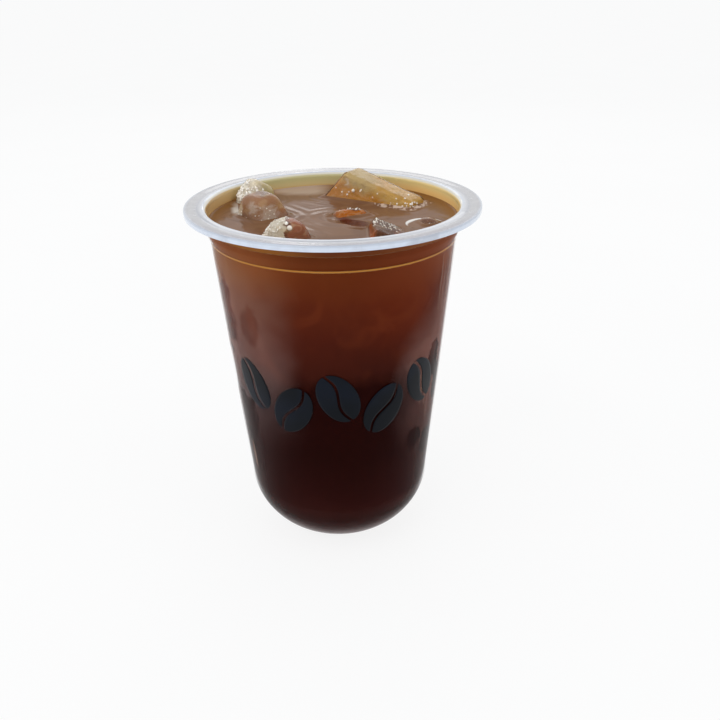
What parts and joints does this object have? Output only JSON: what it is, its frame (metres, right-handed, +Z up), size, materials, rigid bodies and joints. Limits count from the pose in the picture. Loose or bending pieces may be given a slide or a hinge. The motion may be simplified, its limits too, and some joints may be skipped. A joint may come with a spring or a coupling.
{
  "type": "iced americano in a plastic cup",
  "caption": "Iced black coffee filled to the neck of a clear tapered plastic cup with a rounded base and a wide lip, with lumps of ice standing out of it.",
  "frame": {"origin": "on the cup's axis, in the plane that its foot ring stands on", "axes": "+Z up along the cup's axis, -Y towards the front, where the print goes, +X to the right"},
  "size_m": [0.095, 0.095, 0.1247],
  "materials": {
    "cup": "clear moulded plastic, misted, milky white at the lip",
    "coffee": "clear dark brown liquid",
    "ice": "half-melted ice, clear with frosty bubbly patches",
    "print": "dark blue-black ink"
  },
  "bodies": {
    "root": {"cup": "cup", "coffee": "coffee", "ice_slab": "ice", "ice_back_left": "ice", "ice_left": "ice", "ice_front_left": "ice", "ice_centre": "ice", "ice_front_right": "ice", "ice_right": "ice"}
  },
  "joints": []
}
